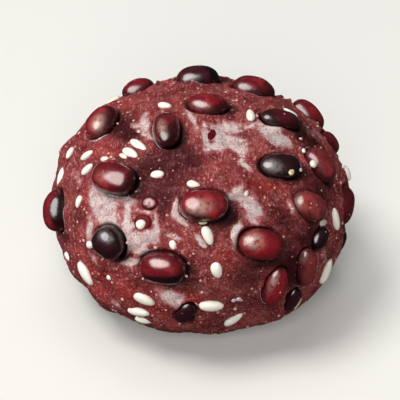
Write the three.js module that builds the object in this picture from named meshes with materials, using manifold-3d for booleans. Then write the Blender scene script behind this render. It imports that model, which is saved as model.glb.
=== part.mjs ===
// An ohagi: a hand-shaped ball of coarse sweet red-bean paste with whole cooked beans half sunk in it
// and cream-white grains bedded in its surface. Millimetres, +Z up, the front faces -Y, and the origin
// is the centre of the small flat foot that the ball rests on.
//
// A place on the ball is given by its bearing (degrees round the ball from the front, positive to the
// right) and its lift (degrees above the belt, the widest level, seen from the belt's centre). A turn
// is the angle of a piece's long side, from level towards upright, looking at the ball from outside.

import * as THREE from 'three';
import { mergeVertices } from 'three/addons/utils/BufferGeometryUtils.js';
import Module from 'manifold-3d';

const wasm = await Module();
wasm.setup();

// The paste
const halfWidth = 29.2;
const halfDepth = 28.3;
const crownHeight = 21.7; // from the belt up to the top of the paste
const underHeight = 19.7; // from the belt down to where the round underside would end
const footTrim = 1.2; // what the flat foot takes off that round end
const crownPower = 2.25; // powers of the upright section, where 2 is an ellipse and 4 nearly a box
const underPower = 2.6;
const lumpRise = 0.28;
const uprightLumps = 0.6; // strength of the lumps that follow one another upwards
const lumpPeriod = { x: 18, y: 16, z: 14 };
const pasteDetail = 11; // rows of triangles along each side of the icosahedron's faces

// Broad swells and hollows of the paste, with reach and rise in millimetres
const swells = [
  { bearing: -96, lift: 25, reach: 6, rise: 1.5 }, // upper left edge
  { bearing: -112, lift: 37, reach: 4, rise: 0.8 }, // upper left edge, behind the bean
  { bearing: 88, lift: 13, reach: 4, rise: 0.4 }, // right edge
  { bearing: 45, lift: -8, reach: 5, rise: 0.9 }, // below the right-hand beans
  { bearing: 32, lift: -16, reach: 4, rise: 0.8 }, // lower right
  { bearing: -11, lift: -4, reach: 3, rise: 1.6 }, // over a bean that the paste covers
  { bearing: 20, lift: 45, reach: 5, rise: 0.7 }, // right of the middle
  { bearing: -22, lift: 52, reach: 8, rise: -1.0 }, // hollow in the middle
  { bearing: -20, lift: 22, reach: 5, rise: 0.5 }, // swell with the broken bean skin
  { bearing: 170, lift: 38, reach: 5, rise: 0.6 }, // top edge
  { bearing: -162, lift: 46, reach: 5, rise: 0.8 }, // top edge, left of the black bean
];

// The beans: long and wide are full sizes, and proud is how far a bean stands out of the paste
const beanThickness = 0.92; // of its width
const beanPower = 2.25; // fullness of a bean's ends
const beanSides = 9;
const beanRings = 6;
const tipAngle = 6; // most that a bean tips endways
const tipStep = 2.3; // radians between the tips of one bean and the next
const shownBeans = [
  { kind: 'red', bearing: -93, lift: 44, turn: -22, long: 8.0, wide: 5.8, proud: 3.2 },
  { kind: 'red', bearing: -48, lift: 68, turn: -37, long: 9.0, wide: 5.2, proud: 2.8 },
  { kind: 'red', bearing: -48, lift: 37, turn: 14, long: 9.2, wide: 6.1, proud: 3.1 },
  { kind: 'red', bearing: -73, lift: 9, turn: -58, long: 8.2, wide: 6.4, proud: 2.8 },
  { kind: 'red', bearing: -141, lift: 41, turn: -28, long: 6.8, wide: 5.4, proud: 2.2 },
  { kind: 'black', bearing: -178, lift: 51, turn: -1, long: 8.6, wide: 6.4, proud: 2.9 },
  { kind: 'red', bearing: 142, lift: 84, turn: 28, long: 7.9, wide: 5.2, proud: 2.6 },
  { kind: 'red', bearing: 140, lift: 49, turn: 30, long: 8.6, wide: 6.0, proud: 2.8 },
  { kind: 'red', bearing: 90, lift: 52, turn: -77, long: 8.3, wide: 4.6, proud: 2.5 },
  { kind: 'red', bearing: 118, lift: 29, turn: 44, long: 7.8, wide: 5.6, proud: 2.7 },
  { kind: 'red', bearing: 102, lift: 23, turn: -60, long: 7.0, wide: 4.4, proud: 1.9 },
  { kind: 'red', bearing: 72, lift: 31, turn: 78, long: 7.6, wide: 5.0, proud: 2.8 },
  { kind: 'black', bearing: 50, lift: 42, turn: -37, long: 8.3, wide: 4.9, proud: 2.7 },
  { kind: 'red', bearing: 2, lift: 35, turn: 0, long: 8.8, wide: 6.0, proud: 3.1 },
  { kind: 'red', bearing: 24, lift: 18, turn: -21, long: 8.4, wide: 5.9, proud: 3.1 },
  { kind: 'red', bearing: 52, lift: 23, turn: -56, long: 7.8, wide: 5.4, proud: 2.7 },
  { kind: 'black', bearing: 52, lift: 10, turn: 26, long: 5.0, wide: 3.3, proud: 1.6 },
  { kind: 'red', bearing: 78, lift: 8, turn: 54, long: 7.8, wide: 5.6, proud: 1.6 },
  { kind: 'red', bearing: 42, lift: 3, turn: -90, long: 8.2, wide: 3.9, proud: 2.4 },
  { kind: 'red', bearing: 29, lift: -1, turn: 75, long: 8.6, wide: 4.4, proud: 2.5 },
  { kind: 'red', bearing: -14, lift: 11, turn: 4, long: 8.8, wide: 6.2, proud: 3.1 },
  { kind: 'black', bearing: -37, lift: 15, turn: -6, long: 6.6, wide: 5.8, proud: 2.9 },
  { kind: 'black', bearing: -6, lift: -9, turn: 65, long: 5.8, wide: 3.6, proud: 1.2 },
  { kind: 'black', bearing: 37, lift: -11, turn: 76, long: 5.6, wide: 3.2, proud: 1.2 },
];

// More beans lie on the far side, at seeded places that keep a bean's distance from one another
const seed = 4958;
const hiddenBeanTries = 900;
const beanSpacing = 20; // least angle between two beans, in degrees
const hiddenBeanLift = -22; // no bean lies lower at the back
const blackEvery = 4; // one in so many of these beans is black
const hiddenBean = { long: [8.2, 9.6], wide: [5.8, 6.7], proud: [2.2, 2.9] };

// The grains: pale grains that lie along the surface and show clear of the beans
const grainThickness = 0.8; // of its width
const grainProud = 0.6; // part of its thickness that stands out of the paste
const grainSides = 6;
const grainRings = 4;
const shownGrains = [
  { bearing: -126, lift: 36, turn: -36, long: 4.0, wide: 1.9 },
  { bearing: -111, lift: 71, turn: 82, long: 3.0, wide: 1.6 },
  { bearing: -86, lift: 28, turn: -51, long: 2.6, wide: 1.4 },
  { bearing: -75, lift: 35, turn: 80, long: 3.1, wide: 1.5 },
  { bearing: -68, lift: 32, turn: 80, long: 3.2, wide: 1.6 },
  { bearing: -57, lift: 54, turn: 8, long: 4.6, wide: 1.6 },
  { bearing: -55, lift: 49, turn: 10, long: 4.0, wide: 1.7 },
  { bearing: -28, lift: 46, turn: 27, long: 2.6, wide: 1.6 },
  { bearing: -83, lift: 18, turn: -56, long: 4.2, wide: 1.9 },
  { bearing: -60, lift: 21, turn: -80, long: 2.5, wide: 1.3 },
  { bearing: -4, lift: 44, turn: -14, long: 2.6, wide: 1.5 },
  { bearing: 85, lift: 66, turn: 8, long: 3.6, wide: 1.7 },
  { bearing: 91, lift: 14, turn: 61, long: 3.2, wide: 1.6 },
  { bearing: 64, lift: 11, turn: 86, long: 4.8, wide: 1.8 },
  { bearing: 57, lift: -9, turn: 67, long: 5.6, wide: 2.2 },
  { bearing: 3, lift: 24, turn: -70, long: 3.7, wide: 1.9 },
  { bearing: 6, lift: 11, turn: -78, long: 3.2, wide: 2.1 },
  { bearing: 4, lift: -5, turn: -4, long: 4.7, wide: 2.3 },
  { bearing: 13, lift: -15, turn: 45, long: 4.6, wide: 1.8 },
  { bearing: -49, lift: -5, turn: -46, long: 5.2, wide: 2.4 },
  { bearing: -63, lift: -6, turn: -18, long: 2.2, wide: 1.4 },
  { bearing: -11, lift: 20, turn: -70, long: 1.8, wide: 1.3 },
  { bearing: -22, lift: -6, turn: -16, long: 4.5, wide: 2.3 },
  { bearing: -25, lift: -14, turn: 9, long: 4.8, wide: 2.0 },
  { bearing: -24, lift: -20, turn: 18, long: 4.2, wide: 1.9 },
  { bearing: -26, lift: 26, turn: 53, long: 2.4, wide: 1.9 },
];
const hiddenGrainTries = 400;
const hiddenGrainCount = 14;
const grainSpacing = 12; // least angle from a grain of the far side to any bean or grain
const hiddenGrainLift = -30;
const hiddenGrain = { long: [2.8, 5.0], wide: [1.6, 2.2] };

const socketGap = 0.4; // all round between a bean and the hollow it sits in
const collarRise = 0.5; // the paste's rim round a bean, at collarAt times the bean's half sizes
const collarAt = 1.25;
const collarSpread = 0.3;

// The pieces that the front shows end where the ball turns away from a viewer at this height
const viewLift = 36;
const hiddenBeanFacing = -0.36;
const hiddenGrainFacing = -0.24;

const pasteMaterial = new THREE.MeshStandardMaterial({ color: 0x74373a, roughness: 0.5, metalness: 0 });
const beanMaterials = {
  red: new THREE.MeshStandardMaterial({ color: 0x6e2226, roughness: 0.22, metalness: 0 }),
  black: new THREE.MeshStandardMaterial({ color: 0x33252a, roughness: 0.22, metalness: 0 }),
};

// Seeded numbers from 0 to 1
function makeRandom(start) {
  const multiplier = 16807;
  const modulus = 2147483647;
  let state = start;
  return () => {
    state = (state * multiplier) % modulus;
    return state / modulus;
  };
}

function between([low, high], part) {
  return THREE.MathUtils.lerp(low, high, part);
}

function direction(bearing, lift) {
  const round = THREE.MathUtils.degToRad(bearing);
  const up = THREE.MathUtils.degToRad(lift);
  return new THREE.Vector3(
    Math.cos(up) * Math.sin(round),
    -Math.cos(up) * Math.cos(round),
    Math.sin(up),
  );
}

// Distance from the belt's centre to the smooth ball: round from above, a fuller curve from the side
function smoothRadius(way) {
  const across = Math.hypot(way.x / halfWidth, way.y / halfDepth);
  const height = way.z > 0 ? crownHeight : underHeight;
  const power = way.z > 0 ? crownPower : underPower;
  return (across ** power + Math.abs(way.z / height) ** power) ** (-1 / power);
}

// Small lumps all over: products of waves that bend one another
function lumps(spot) {
  const x = (2 * Math.PI * spot.x) / lumpPeriod.x;
  const y = (2 * Math.PI * spot.y) / lumpPeriod.y;
  const z = (2 * Math.PI * spot.z) / lumpPeriod.z;
  const level = Math.sin(x + Math.sin(y)) * Math.sin(y + Math.sin(z));
  return lumpRise * (level + uprightLumps * Math.sin(z + Math.sin(x)));
}

const swellSpots = swells.map((swell) => {
  const way = direction(swell.bearing, swell.lift);
  return { ...swell, spot: way.multiplyScalar(smoothRadius(way)) };
});

// Distance to the paste's ground, without the rims round the beans
function groundRadius(way) {
  const radius = smoothRadius(way);
  const spot = way.clone().multiplyScalar(radius);
  let rise = lumps(spot);
  for (const swell of swellSpots) {
    rise += swell.rise * Math.exp(-((spot.distanceTo(swell.spot) / swell.reach) ** 2));
  }
  return radius + rise;
}

// The smooth ball's outward, level and upward directions at a place
function axesAt(bearing, lift) {
  const step = 0.1;
  const on = (b, l) => {
    const way = direction(b, l);
    return way.multiplyScalar(smoothRadius(way));
  };
  const east = on(bearing + step, lift).sub(on(bearing - step, lift)).normalize();
  const north = on(bearing, lift + step).sub(on(bearing, lift - step)).normalize();
  const out = new THREE.Vector3().crossVectors(east, north).normalize();
  const up = new THREE.Vector3().crossVectors(out, east).normalize();
  return { out, east, up };
}

// Where a bean or grain lies: its matrix has the wide side on X, the long side on Y and outward on Z
function lay(piece) {
  const { out, east, up } = axesAt(piece.bearing, piece.lift);
  const way = direction(piece.bearing, piece.lift);
  const turn = THREE.MathUtils.degToRad(piece.turn);
  const tip = THREE.MathUtils.degToRad(piece.tip ?? 0);
  const along = east.clone().multiplyScalar(Math.cos(turn)).addScaledVector(up, Math.sin(turn));
  const longSide = along.clone().multiplyScalar(Math.cos(tip)).addScaledVector(out, Math.sin(tip));
  const wideSide = new THREE.Vector3().crossVectors(longSide, out).normalize();
  const outSide = new THREE.Vector3().crossVectors(wideSide, longSide);
  const centre = way.clone().multiplyScalar(groundRadius(way));
  centre.addScaledVector(out, piece.proud - piece.thick / 2);
  const matrix = new THREE.Matrix4().makeBasis(wideSide, longSide, outSide).setPosition(centre);
  return { ...piece, way, out, centre, longSide, wideSide, matrix };
}

function layBean(bean, index) {
  const tip = tipAngle * Math.sin(tipStep * index);
  return lay({ ...bean, thick: bean.wide * beanThickness, tip });
}

function layGrain(grain) {
  const thick = grain.wide * grainThickness;
  return lay({ ...grain, thick, proud: thick * grainProud });
}

// Seeded places on the far side of the ball that keep their distance from the pieces laid before
function farPlaces({ random, tries, most, spacing, lowest, facing, taken }) {
  const view = direction(0, viewLift);
  const nearest = Math.cos(THREE.MathUtils.degToRad(spacing));
  const lowestZ = Math.sin(THREE.MathUtils.degToRad(lowest));
  const ways = [...taken];
  const places = [];
  for (let count = 0; count < tries && places.length < most; count += 1) {
    const bearing = between([-180, 180], random());
    const lift = THREE.MathUtils.radToDeg(Math.asin(between([lowestZ, 1], random())));
    const draws = [random(), random(), random()];
    const way = direction(bearing, lift);
    const hidden = axesAt(bearing, lift).out.dot(view) < facing;
    if (hidden && ways.every((other) => other.dot(way) < nearest)) {
      ways.push(way);
      places.push({ bearing, lift, draws });
    }
  }
  return places;
}

function layBeans(random) {
  const beans = shownBeans.map(layBean);
  const places = farPlaces({
    random,
    tries: hiddenBeanTries,
    most: Infinity,
    spacing: beanSpacing,
    lowest: hiddenBeanLift,
    facing: hiddenBeanFacing,
    taken: beans.map((bean) => bean.way),
  });
  places.forEach(({ bearing, lift, draws }, index) => {
    const bean = {
      kind: index % blackEvery === 1 ? 'black' : 'red',
      bearing,
      lift,
      turn: between([-90, 90], draws[0]),
      long: between(hiddenBean.long, draws[1]),
      wide: between(hiddenBean.wide, draws[2]),
      proud: between(hiddenBean.proud, draws[1]),
    };
    beans.push(layBean(bean, beans.length));
  });
  return beans;
}

function layGrains(random, beans) {
  const grains = shownGrains.map(layGrain);
  const places = farPlaces({
    random,
    tries: hiddenGrainTries,
    most: hiddenGrainCount,
    spacing: grainSpacing,
    lowest: hiddenGrainLift,
    facing: hiddenGrainFacing,
    taken: [...beans, ...grains].map((piece) => piece.way),
  });
  for (const { bearing, lift, draws } of places) {
    const grain = {
      bearing,
      lift,
      turn: between([-90, 90], draws[0]),
      long: between(hiddenGrain.long, draws[1]),
      wide: between(hiddenGrain.wide, draws[2]),
    };
    grains.push(layGrain(grain));
  }
  return grains;
}

// Distance to the finished paste: the ground with a rim round each bean
function pasteRadius(way, beans) {
  const radius = groundRadius(way);
  const spot = way.clone().multiplyScalar(radius);
  let rim = 0;
  for (const bean of beans) {
    const offset = spot.clone().sub(bean.centre);
    const along = offset.dot(bean.longSide) / (bean.long / 2);
    const across = offset.dot(bean.wideSide) / (bean.wide / 2);
    if (offset.length() < bean.long) {
      const ring = (Math.hypot(along, across) - collarAt) / collarSpread;
      rim = Math.max(rim, collarRise * Math.exp(-ring * ring));
    }
  }
  return radius + rim;
}

// A ball of radius 1 with full ends, stretched to the sizes of a bean, a grain or a bean's hollow
function pebble(wide, long, thick, sides, rings, power) {
  const geometry = new THREE.SphereGeometry(1, sides, rings);
  const position = geometry.attributes.position;
  for (let i = 0; i < position.count; i += 1) {
    const spot = new THREE.Vector3().fromBufferAttribute(position, i);
    const total = Math.abs(spot.x) ** power + Math.abs(spot.y) ** power + Math.abs(spot.z) ** power;
    spot.multiplyScalar(total ** (-1 / power));
    position.setXYZ(i, spot.x * (wide / 2), spot.y * (long / 2), spot.z * (thick / 2));
  }
  return closed(geometry);
}

// The same surface with its shared corners merged
function closed(geometry) {
  geometry.deleteAttribute('normal');
  geometry.deleteAttribute('uv');
  const merged = mergeVertices(geometry, 1e-4);
  merged.computeVertexNormals();
  return merged;
}

function solidOf(geometry) {
  const vertProperties = new Float32Array(geometry.attributes.position.array);
  const triVerts = new Uint32Array(geometry.index.array);
  return new wasm.Manifold(new wasm.Mesh({ numProp: 3, vertProperties, triVerts }));
}

function geometryOf(solid) {
  const { vertProperties, triVerts } = solid.getMesh();
  const geometry = new THREE.BufferGeometry();
  geometry.setAttribute('position', new THREE.BufferAttribute(vertProperties, 3));
  geometry.setIndex(new THREE.BufferAttribute(triVerts, 1));
  geometry.computeVertexNormals();
  return geometry;
}

function beanGeometry(bean, gap) {
  const [wide, long, thick] = [bean.wide, bean.long, bean.thick].map((size) => size + 2 * gap);
  return pebble(wide, long, thick, beanSides, beanRings, beanPower);
}

function grainGeometry(grain) {
  return pebble(grain.wide, grain.long, grain.thick, grainSides, grainRings, 2);
}

// The paste with its grains joined on, the beans' hollows cut out and the underside cut flat
function pasteGeometry(beans, grains, footLevel) {
  const ball = closed(new THREE.IcosahedronGeometry(1, pasteDetail));
  const position = ball.attributes.position;
  for (let i = 0; i < position.count; i += 1) {
    const way = new THREE.Vector3().fromBufferAttribute(position, i).normalize();
    way.multiplyScalar(pasteRadius(way, beans));
    position.setXYZ(i, way.x, way.y, way.z);
  }
  let solid = solidOf(ball);
  for (const grain of grains) {
    solid = solid.add(solidOf(grainGeometry(grain).applyMatrix4(grain.matrix)));
  }
  for (const bean of beans) {
    solid = solid.subtract(solidOf(beanGeometry(bean, socketGap).applyMatrix4(bean.matrix)));
  }
  const below = new THREE.BoxGeometry(2 * halfWidth, 2 * halfWidth, underHeight);
  below.translate(0, 0, footLevel - underHeight / 2);
  return geometryOf(solid.subtract(solidOf(closed(below))));
}

function pieceName(kind, number) {
  return `${kind}_bean_${String(number).padStart(2, '0')}`;
}

function makeOhagi() {
  const footLevel = footTrim - underHeight;
  const random = makeRandom(seed);
  const beans = layBeans(random);
  const grains = layGrains(random, beans);

  const ohagi = new THREE.Group();
  ohagi.name = 'ohagi';
  ohagi.position.z = -footLevel;

  const paste = new THREE.Mesh(pasteGeometry(beans, grains, footLevel), pasteMaterial);
  paste.name = 'paste_ball';
  ohagi.add(paste);

  const counts = { red: 0, black: 0 };
  for (const bean of beans) {
    counts[bean.kind] += 1;
    const mesh = new THREE.Mesh(beanGeometry(bean, 0), beanMaterials[bean.kind]);
    mesh.name = pieceName(bean.kind, counts[bean.kind]);
    bean.matrix.decompose(mesh.position, mesh.quaternion, mesh.scale);
    ohagi.add(mesh);
  }
  return ohagi;
}

const group = makeOhagi();

export default group;
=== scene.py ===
import bpy
import math
import numpy as np
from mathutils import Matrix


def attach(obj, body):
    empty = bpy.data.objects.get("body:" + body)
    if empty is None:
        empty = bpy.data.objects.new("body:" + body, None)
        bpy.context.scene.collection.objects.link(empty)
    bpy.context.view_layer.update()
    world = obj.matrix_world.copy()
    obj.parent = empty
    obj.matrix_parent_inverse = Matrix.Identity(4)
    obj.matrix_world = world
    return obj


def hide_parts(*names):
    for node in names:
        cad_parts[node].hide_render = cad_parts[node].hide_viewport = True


# A round ohagi on a pale table: coarse red-bean paste, glossy whole beans, cream grains and fine specks.
# Settings are in millimetres and degrees, meshes in metres in the row's frame.
# Bearing goes round the ball from the front to the right, lift up from the ball's widest level.

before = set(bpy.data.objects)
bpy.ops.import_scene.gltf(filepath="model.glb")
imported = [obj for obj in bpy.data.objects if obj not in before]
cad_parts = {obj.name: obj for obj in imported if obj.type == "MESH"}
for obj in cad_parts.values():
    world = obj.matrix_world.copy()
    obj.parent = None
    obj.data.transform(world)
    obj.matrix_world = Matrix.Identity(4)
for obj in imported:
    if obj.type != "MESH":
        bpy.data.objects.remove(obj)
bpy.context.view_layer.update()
mm = 0.001
frontLift = 36  # the photograph looks down at the front from so many degrees
print("frame loaded,", len(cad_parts), "nodes")

ball = {
    "halfWidth": 29.2,
    "halfDepth": 28.3,
    "crownHeight": 21.7,  # belt to top
    "underHeight": 19.7,  # belt to the round end that the foot trims
    "footTrim": 1.2,
    "crownPower": 2.25,
    "underPower": 2.6,
    "lumpRise": 0.28,
    "uprightLumps": 0.6,
    "lumpPeriod": (18, 16, 14),
}
beltHeight = ball["underHeight"] - ball["footTrim"]

# bearing, lift, reach, rise
swells = [
    (-96, 25, 6, 1.5),
    (-112, 37, 4, 0.8),
    (88, 13, 4, 0.4),
    (45, -8, 5, 0.9),
    (32, -16, 4, 0.8),
    (-11, -4, 3, 1.6),
    (20, 45, 5, 0.7),
    (-22, 52, 8, -1.0),
    (-20, 22, 5, 0.5),
    (170, 38, 5, 0.6),
    (-162, 46, 5, 0.8),
]


def unit(vectors):  # each divided by its length
    return vectors / np.linalg.norm(vectors, axis=-1, keepdims=True)


def turned(first, second, angle):  # the direction so many degrees from the first towards the second
    return first * np.cos(np.radians(angle)) + second * np.sin(np.radians(angle))


def between(limits, part):  # the first of two values where the part is 0, the second where it is 1
    return limits[0] + (limits[1] - limits[0]) * part


def wayOf(bearing, lift):  # unit directions from bearings and lifts in degrees
    b, l = np.radians(bearing), np.radians(lift)
    return np.stack([np.cos(l) * np.sin(b), -np.cos(l) * np.cos(b), np.sin(l) + 0 * b], axis=-1)


frontWay = wayOf(0, frontLift)


def smoothRadius(way):  # (across^p + up^p)^(-1/p), p one power above the belt and another below
    across = np.hypot(way[..., 0] / ball["halfWidth"], way[..., 1] / ball["halfDepth"])
    above = way[..., 2] > 0
    height = np.where(above, ball["crownHeight"], ball["underHeight"])
    power = np.where(above, ball["crownPower"], ball["underPower"])
    return (across**power + np.abs(way[..., 2] / height) ** power) ** (-1 / power)


def lumps(spot):  # products of waves that bend one another
    x, y, z = (2 * np.pi * spot[..., k] / ball["lumpPeriod"][k] for k in range(3))
    level = np.sin(x + np.sin(y)) * np.sin(y + np.sin(z))
    return ball["lumpRise"] * (level + ball["uprightLumps"] * np.sin(z + np.sin(x)))


def groundRadius(way):  # smooth ball plus lumps plus a bell curve for each swell
    radius = smoothRadius(way)
    spot = way * radius[..., None]
    rise = lumps(spot)
    for bearing, lift, reach, height in swells:
        middle = wayOf(bearing, lift)
        middle = middle * smoothRadius(middle)
        rise = rise + height * np.exp(-(((spot - middle) ** 2).sum(-1)) / reach**2)
    return radius + rise


def axesAt(bearing, lift, step=0.1):  # outward, level and upward directions of the smooth ball
    def on(b, l):
        way = wayOf(b, l)
        return way * smoothRadius(way)[..., None]

    east = unit(on(bearing + step, lift) - on(bearing - step, lift))
    north = unit(on(bearing, lift + step) - on(bearing, lift - step))
    out = unit(np.cross(east, north))
    return out, east, unit(np.cross(out, east))


def waves(spot, period, seed, count=40):  # sum of sine waves in random directions, spread about 1
    draw = np.random.default_rng(seed)
    heading = unit(draw.normal(size=(count, 3))) * draw.uniform(0.7, 1.4, (count, 1)) * 2 * np.pi / period
    phase = draw.uniform(0, 2 * np.pi, count)
    return np.sin(spot @ heading.T + phase).sum(-1) * math.sqrt(2 / count)


def smoothStep(low, high, value):  # 0 at low, 1 at high, and 3t^2 - 2t^3 between them
    part = np.clip((value - low) / (high - low), 0, 1)
    return part * part * (3 - 2 * part)


def cubeBall(rows):  # unit directions and faces of a cube blown up to a ball, shared along its edges
    step = np.arange(rows + 1) * 2 - rows
    i, j = np.meshgrid(step, step, indexing="ij")
    sides = np.empty((6, rows + 1, rows + 1, 3), int)
    for axis in range(3):
        for k, (sign, first, second) in enumerate([(-1, j, i), (1, i, j)]):
            sides[2 * axis + k, ..., axis] = sign * rows
            sides[2 * axis + k, ..., (axis + 1) % 3] = first
            sides[2 * axis + k, ..., (axis + 2) % 3] = second
    places, index = np.unique(sides.reshape(-1, 3), axis=0, return_inverse=True)
    index = index.reshape(6, rows + 1, rows + 1)
    faces = [index[:, :-1, :-1], index[:, 1:, :-1], index[:, 1:, 1:], index[:, :-1, 1:]]
    return unit(np.tan(places / rows * np.pi / 4)), np.stack(faces, -1).reshape(-1, 4)


def makePiece(name, points, faces, material, marks=None):  # points in millimetres from the belt's middle
    mesh = bpy.data.meshes.new(name)
    mesh.from_pydata((points + [0, 0, beltHeight]) * mm, [], faces)
    mesh.polygons.foreach_set("use_smooth", np.ones(len(faces), bool))
    for mark, values in (marks or {}).items():
        layer = mesh.attributes.new(mark, "FLOAT", "POINT")
        layer.data.foreach_set("value", np.ascontiguousarray(values, np.float32))
    mesh.materials.append(material)
    mesh.validate()
    piece = bpy.data.objects.new(name, mesh)
    bpy.context.scene.collection.objects.link(piece)
    return piece


def makePastePiece(*pieceParts):  # a piece of the paste ball
    piece = makePiece(*pieceParts)
    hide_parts("paste_ball")
    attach(piece, "root")


# small helpers that add nodes to a material

def newMaterial(name):
    material = bpy.data.materials.new(name)
    material.use_nodes = True
    return material, material.node_tree.nodes["Principled BSDF"]


def setSockets(material, node, values):  # another node's output is linked, a colour is a tuple, a vector a list
    for key, value in values.items():
        if isinstance(value, bpy.types.NodeSocket):
            material.node_tree.links.new(value, node.inputs[key])
        else:
            node.inputs[key].default_value = (*value, 1) if isinstance(value, tuple) else value


def addNode(material, kind, values, output=0, **choices):
    node = material.node_tree.nodes.new("ShaderNode" + kind)
    for key, choice in choices.items():
        setattr(node, key, choice)
    setSockets(material, node, values)
    return node.outputs[output]


def objectPlace(material):  # one coordinate node serves the whole material
    node = material.node_tree.nodes.get("Texture Coordinate")
    return node.outputs["Object"] if node else addNode(material, "TexCoord", {}, "Object")


def noiseNode(material, size, detail=2.0, roughness=0.5, distortion=0.0, place=None):  # size in millimetres
    return addNode(material, "TexNoise", {
        "Vector": objectPlace(material) if place is None else place,
        "Scale": 1 / (size * mm),
        "Detail": detail,
        "Roughness": roughness,
        "Distortion": distortion,
    }, "Fac")


def strokes(material, long, thin, turn, low, high, most=1.0):  # noise drawn out into short strokes
    stretched = addNode(material, "Mapping", {
        "Vector": objectPlace(material),
        "Rotation": [math.radians(angle) for angle in turn],
        "Scale": [1, thin / long, 1],
    }, "Vector")
    return rangeNode(material, noiseNode(material, thin, 1, 0.5, 0.6, stretched), low, high, 0, most)


def blotch(material, size, low, high, most=1.0):  # noise between two levels, at most so strong
    return rangeNode(material, noiseNode(material, size, 4, 0.6, 0.6), low, high, 0, most)


def markNode(material, mark):  # a value that the mesh carries at each point
    return addNode(material, "Attribute", {}, "Fac", attribute_name=mark)


def rangeNode(material, value, low, high, newLow=0.0, newHigh=1.0, kind="SMOOTHSTEP"):
    values = {"Value": value, "From Min": low, "From Max": high, "To Min": newLow, "To Max": newHigh}
    return addNode(material, "MapRange", values, "Result", interpolation_type=kind)


def mathNode(material, operation, first, second=0.0):
    return addNode(material, "Math", {0: first, 1: second}, operation=operation)


def times(material, first, second):  # product, kept between 0 and 1
    return addNode(material, "Math", {0: first, 1: second}, operation="MULTIPLY", use_clamp=True)


def mixNode(material, part, first, second):  # mix of two colours
    return addNode(material, "Mix", {0: part, 6: first, 7: second}, 2, data_type="RGBA")


def mixNumber(material, part, first, second):
    return addNode(material, "Mix", {0: part, 2: first, 3: second})


def layered(material, colour, layers):  # each colour laid over the ones before, as far as its part says
    for part, over in layers:
        colour = mixNode(material, part, colour, over)
    return colour


def bumpNode(material, height, strength, distance):
    return addNode(material, "Bump", {"Height": height, "Strength": strength, "Distance": distance * mm}, "Normal")


# the beans, whose places and sizes come from the frame

beanLook = {
    "thickness": 0.92,  # of the width
    "power": 2.25,
    "rows": 20,
    "seed": 400,
    "egg": 0.05,  # how much one end is fatter
    "bend": 0.05,
    "wrinkle": 0.012,
    "wrinklePeriod": 4.0,
    "wrinkleWaves": 20,
    "covered": {"red_bean_14": 0.75},  # beans that the paste closes round
    "paintedLightWay": wayOf(-60, 35),  # painted shade: the lower flank is painted darkest on the side turned away from here
    "paintedShadeSpread": (0.92, 0.2),  # heights on a bean, 1 at its top, between which painted shade darkens the flank
    "rim": 0.45,  # how much painted shade darkens the skin near the paste
    "rimSpread": (0.7, 0.1),
    "otherTone": {"red": (0.3, 0.85), "black": (0.1, 0.3)},  # drawn for the beans that "tone" leaves out
    "tone": dict(zip(
        ["black_bean_01"] + ["red_bean_%02d" % k for k in range(1, 19)],
        [0.5, 0.95, 0.35, 0.6, 0.6, 0.55, 0.75, 0.5, 0.2, 0.5, 0.6, 0.65, 0.8, 0.95, 0.7, 0.35, 0.65, 0.7, 0.45],
    )),
    "shadedSides": {  # painted shade on given sides: side (0 level, 90 upwards, as seen from outside), strength, where it starts
        "red_bean_01": [(84, 0.7, 0.40)], "red_bean_02": [(30, 0.7, 0.20), (260, 0.9, 0.72)],
        "red_bean_03": [(2, 0.6, 0.5), (312, 0.5, 0.5)], "red_bean_04": [(35, 0.95, 0.45)],
        "red_bean_06": [(224, 0.6, 0.4), (192, 0.6, 0.55)], "red_bean_07": [(152, 0.5, 0.5)],
        "red_bean_08": [(138, 0.9, 0.4), (208, 0.5, 0.5)], "red_bean_11": [(270, 0.5, 0.5)],
        "red_bean_12": [(248, 0.9, 0.62), (350, 0.6, 0.6)], "red_bean_13": [(330, 0.4, 0.6)],
        "red_bean_14": [(300, 0.4, 0.4)], "red_bean_17": [(320, 0.4, 0.5)], "red_bean_18": [(282, 1.0, 0.02)],
        "black_bean_01": [(200, 1.0, 0.0)],
    },
    "shadedSideSpread": 0.35,  # how far on the painted shade of a side is at its full strength
    "film": {"red_bean_14": 0.1, "red_bean_11": 0.05, "red_bean_16": 0.1},
    # painted highlights, drawn as pale ovals of dried syrup on the skin
    "paintedHighlights": {  # right, up and out from its middle, turn, half length, half width, strength
        "red_bean_01": [(2.9, 0.6, 1.8, -25, 2.1, 1.2, 0.95)],
        "red_bean_02": [(2.2, -1.2, 2.0, -10, 2.3, 0.7, 0.8)],
        "red_bean_03": [(-0.9, -1.3, 2.6, -9, 1.3, 0.9, 0.3)],
        "red_bean_04": [(1.0, 3.4, 0.7, -36, 1.4, 0.5, 0.35)],
        "red_bean_06": [(-1.8, 1.9, 1.2, 65, 1.6, 0.7, 0.5)], "red_bean_07": [(1.2, 3.3, 0.7, 4, 0.8, 0.7, 0.3)],
        "red_bean_08": [(-2.0, 2.7, 0.9, 69, 1.4, 0.7, 0.6)],
        "red_bean_12": [(-1.6, -0.8, 2.6, 9, 2.1, 1.2, 0.75)],
        "red_bean_13": [(-2.0, 1.6, 2.2, -28, 1.6, 1.2, 0.85)],
        "red_bean_14": [(-3.0, 2.3, 0.5, 56, 1.4, 0.8, 0.7)], "red_bean_16": [(-1.4, 3.1, 0.0, 59, 1.3, 0.7, 0.5)],
        "red_bean_17": [(-1.2, 2.2, 1.2, 64, 1.9, 0.6, 0.6)], "red_bean_18": [(-0.3, 2.0, 2.3, 3, 1.0, 0.7, 0.5)],
        "black_bean_01": [(2.1, 2.6, 0.9, -24, 1.4, 0.6, 0.95)],
        "black_bean_02": [(-2.8, 0.3, 1.6, -39, 1.7, 1.1, 0.8)],
        "black_bean_04": [(-0.2, 2.8, 1.6, 8, 1.1, 1.0, 0.5), (1.2, 2.3, 1.6, -5, 0.5, 0.4, 0.6)],
    },
}


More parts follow.
